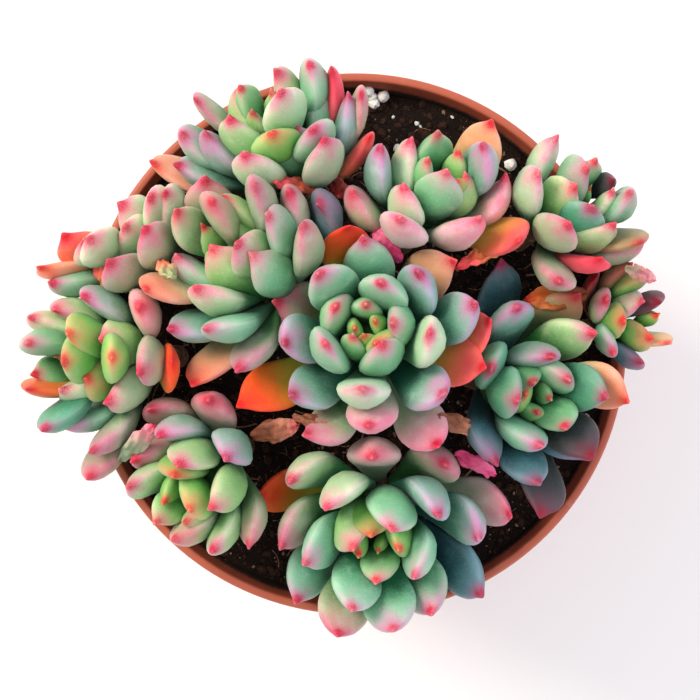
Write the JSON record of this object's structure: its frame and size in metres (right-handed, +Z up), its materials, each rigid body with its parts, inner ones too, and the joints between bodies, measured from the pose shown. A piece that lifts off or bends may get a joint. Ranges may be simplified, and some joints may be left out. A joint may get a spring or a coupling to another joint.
{
  "type": "potted blue elf echeveria",
  "caption": "Clump of blue-green succulent rosettes with red leaf tips, on short woody stems in a round terracotta-coloured pot; rests on its flat base.",
  "frame": {"origin": "middle of the pot's underside, on the surface the pot stands on", "axes": "+Z up along the pot's axis; +X to the right and +Y away when the plant is seen as in the picture, from above; the clump is widest along X"},
  "size_m": [0.2023, 0.1773, 0.1829],
  "materials": {
    "pot": "terracotta-coloured moulded plastic, satin, fine pale bloom",
    "soil": "moist dark potting mix with bark fibres and white perlite",
    "leaf": "fleshy blue-green leaf under a pale powdery bloom, pink to crimson at the tip",
    "withered_leaf": "shrivelled coral to brown leaf, wrinkled"
  },
  "bodies": {
    "root": {"pot": "pot", "soil": "soil", "rosette_middle": "leaf", "rosette_left_of_middle": "leaf", "rosette_upper_middle": "leaf", "rosette_right": "leaf", "rosette_upper_left": "leaf", "rosette_upper_right": "leaf", "rosette_bottom": "leaf", "rosette_lower_left": "leaf", "rosette_left": "leaf", "rosette_far_upper_left": "leaf", "rosette_small_right": "leaf", "withered_leaf_1": "withered_leaf", "withered_leaf_2": "withered_leaf", "withered_leaf_3": "withered_leaf", "withered_leaf_4": "withered_leaf", "withered_leaf_5": "withered_leaf", "withered_leaf_6": "withered_leaf", "withered_leaf_7": "withered_leaf", "withered_leaf_8": "withered_leaf", "withered_leaf_9": "withered_leaf", "withered_leaf_10": "withered_leaf", "withered_leaf_11": "withered_leaf", "withered_leaf_12": "withered_leaf", "withered_leaf_13": "withered_leaf"}
  },
  "joints": []
}
